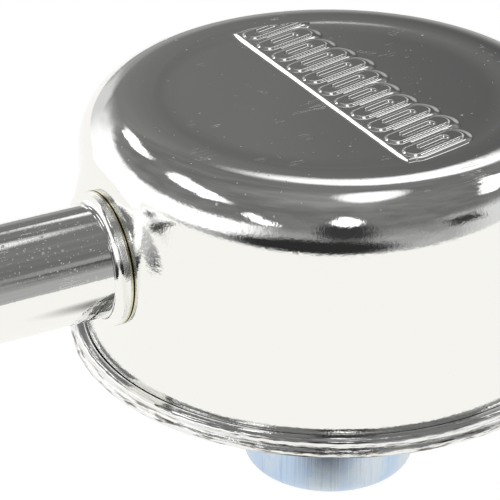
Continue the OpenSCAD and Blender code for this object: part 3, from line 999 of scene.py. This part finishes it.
def toward_camera():
    """The camera's direction on the floor, and the direction to its right."""
    toward = Vector((math.sin(CAMERA_AZIMUTH), -math.cos(CAMERA_AZIMUTH)))
    return toward, Vector((-toward.y, toward.x))


def paint_overhead_lamp(nodes, under, direction):
    """A soft lamp almost straight above, placed by how far it leans right and forward."""
    toward, right = toward_camera()
    leans = []
    for axis, middle, half in ((right, 0.12, 0.105), (toward, -0.2, 0.22)):
        pair = {0: direction, 1: (axis.x, axis.y, 0.0)}
        lean = nodes.add("ShaderNodeVectorMath", pair, operation="DOT_PRODUCT").outputs["Value"]
        leans.append(nodes.math("DIVIDE", nodes.math("SUBTRACT", lean, middle), half))
    squares = [nodes.math("MULTIPLY", lean, lean) for lean in leans]
    share = nodes.ramp(nodes.math("ADD", *squares), 1.6, 0.3)
    height = nodes.add("ShaderNodeSeparateXYZ", {"Vector": direction}).outputs[2]
    share = nodes.math("MULTIPLY", share, nodes.math("GREATER_THAN", height, 0.0))
    return nodes.mix(share, under, (1.3, 1.3, 1.3, 1.0))


def make_studio():
    """Soft grey surroundings that the metal mirrors; the camera itself sees plain white."""
    world = bpy.data.worlds.new("studio")
    bpy.context.scene.world = world
    world.use_nodes = True
    nodes = Nodes(world.node_tree)
    direction = nodes.add("ShaderNodeTexCoord").outputs["Generated"]
    parts = nodes.add("ShaderNodeSeparateXYZ", {"Vector": nodes.vector("NORMALIZE", direction)}).outputs
    azimuth = nodes.math("ARCTAN2", parts[0], nodes.math("MULTIPLY", parts[1], -1.0))
    azimuth = nodes.math("SUBTRACT", azimuth, CAMERA_AZIMUTH)
    azimuth = nodes.math("MULTIPLY", azimuth, 180 / math.pi)
    elevation = nodes.math("MULTIPLY", nodes.math("ARCSINE", parts[2]), 180 / math.pi)
    place = nodes.add("ShaderNodeCombineXYZ", {"X": azimuth, "Y": elevation}).outputs[0]
    colour = sky_colour(nodes, elevation)
    shade = nodes.ramp(nodes.noise(direction, 5.0, 4.0, 0.6), 0.3, 0.7, 0.84, 1.16)
    colour = nodes.add("ShaderNodeVectorMath", {0: colour, "Scale": shade}, operation="SCALE").outputs[0]
    drift = nodes.add("ShaderNodeTexNoise", {"Vector": direction, "Scale": 8.0, "Detail": 4.0})
    ragged = nodes.vector("SUBTRACT", drift.outputs["Color"], (0.5, 0.5, 0.5))
    ragged = nodes.vector("MULTIPLY", ragged, (10.0, 7.0, 0.0))
    ragged = nodes.vector("ADD", place, ragged)
    for patch in STUDIO:
        colour = paint_patch(nodes, colour, ragged, patch)
    colour = paint_overhead_lamp(nodes, colour, direction)
    seen = nodes.add("ShaderNodeLightPath").outputs["Is Camera Ray"]
    colour = nodes.mix(seen, colour, (1.0, 1.0, 1.0, 1.0))
    background = nodes.add("ShaderNodeBackground", {"Color": colour})
    output = nodes.add("ShaderNodeOutputWorld")
    world.node_tree.links.new(background.outputs[0], output.inputs[0])


def flat_sheet(name, corners, height):
    mesh = bpy.data.meshes.new(name)
    mesh.from_pydata([(x, y, height) for x, y in corners], [], [tuple(range(len(corners)))])
    made = bpy.data.objects.new(name, mesh)
    bpy.context.scene.collection.objects.link(made)
    return made


def pale_floor():
    """A white floor that glows a little, so that its shadows stay faint."""
    glow, diffuse = 0.86, 0.35
    material = bpy.data.materials.new("pale_floor")
    material.use_nodes = True
    nodes = Nodes(material.node_tree)
    emission = nodes.add("ShaderNodeEmission", {"Color": (1.0, 1.0, 1.0, 1.0), "Strength": glow})
    matte = nodes.add("ShaderNodeBsdfDiffuse", {"Color": (diffuse, diffuse, diffuse, 1.0)})
    both = nodes.add("ShaderNodeAddShader", {0: emission.outputs[0], 1: matte.outputs[0]})
    output = nodes.add("ShaderNodeOutputMaterial")
    material.node_tree.links.new(both.outputs[0], output.inputs[0])
    return material


def shaded_table():
    """The table as the metal sees it: bright, with a shadow in front of the neck."""
    material = bpy.data.materials.new("pale_table")
    material.use_nodes = True
    nodes = Nodes(material.node_tree)
    spot_reach, spot_start, spot_end = 0.031, 0.004, 0.021
    spot = toward_camera()[0] * spot_reach
    place = nodes.add("ShaderNodeNewGeometry").outputs["Position"]
    from_spot = nodes.vector("SUBTRACT", place, (spot.x, spot.y, cad_box[0].z))
    distance = nodes.add("ShaderNodeVectorMath", {0: from_spot}, operation="LENGTH").outputs["Value"]
    glow = nodes.ramp(distance, spot_start, spot_end, 0.08, 1.0)
    emission = nodes.add("ShaderNodeEmission", {"Color": tone(255, 254, 251), "Strength": glow})
    output = nodes.add("ShaderNodeOutputMaterial")
    material.node_tree.links.new(emission.outputs[0], output.inputs[0])
    return material


def make_table():
    """A wide pale floor, and the table's own top, whose front edge shows in the chrome."""
    height = cad_box[0].z - 0.0001
    wide = 3.0
    edge = [(wide * math.cos(a), wide * math.sin(a)) for a in even_turn(64)]
    floor = flat_sheet("floor", edge, height - 0.0002)
    floor.data.materials.append(pale_floor())
    floor.visible_glossy = False
    front, back, side = 0.165, 2.4, 2.4
    toward, right = toward_camera()
    reaches = ((front, -side), (front, side), (-back, side), (-back, -side))
    corners = [toward * d + right * s for d, s in reaches]
    top = flat_sheet("table_top", [tuple(c) for c in corners], height)
    top.data.materials.append(shaded_table())
    top.visible_camera = False
    top.visible_diffuse = False
    top.visible_shadow = False


# ---------------------------------------------------------------------------
# Assembly
# ---------------------------------------------------------------------------
def install(made, node):
    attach(made, "root")
    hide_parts(node)


def paint_node(name, material):
    """Gives a carried-over CAD node its material."""
    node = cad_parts[name]
    if not node.material_slots:
        node.data.materials.append(material)
    for place in node.material_slots:
        place.material = material


make_camera()
make_studio()
make_table()
bpy.context.scene.view_settings.view_transform = "Standard"

plate = chrome("bright_chrome", 0.05, 0.000022)
tube_plate = chrome("dusty_chrome", 0.85, 0.000004)
rim_plate = rim_chrome()
zinc = clear_zinc()
yellow = yellow_zinc()
steel = bare_steel()
gauze_wire = knitted_wire()
felt = soft_material("pressed_felt", tone(120, 116, 106), tone(168, 162, 150), 900.0, 0.0001, 0.95)
rubber = soft_material("seal_rubber", tone(22, 22, 24), tone(34, 34, 36), 600.0, 0.00002, 0.55)
fibre = soft_material("gasket_board", tone(64, 72, 68), tone(88, 96, 92), 1400.0, 0.00003, 0.85)

install(make_cover(plate), "cover_shell")
install(make_base(rim_plate), "base_plate")
install(make_pipe(tube_plate), "hose_tube")
install(make_collar(plate), "tube_collar")
install(make_washer(yellow), "collar_washer")
install(make_neck(zinc), "neck_tube")
install(make_rivets(zinc), "baffle_rivets")
install(make_gauze(steel), "neck_screen")

for node_name in ("screen_snap_ring", "splash_baffle", "inner_saddle", "tube_lock_ring", "lower_end_ring",
                  "inner_screen", "outer_screen", "upper_end_plate", "hold_down_spring"):
    paint_node(node_name, steel)
for node_name in ("lower_felt", "upper_felt"):
    paint_node(node_name, felt)
paint_node("rim_seal", rubber)
paint_node("neck_gasket", fibre)
paint_node("filter_element", gauze_wire)
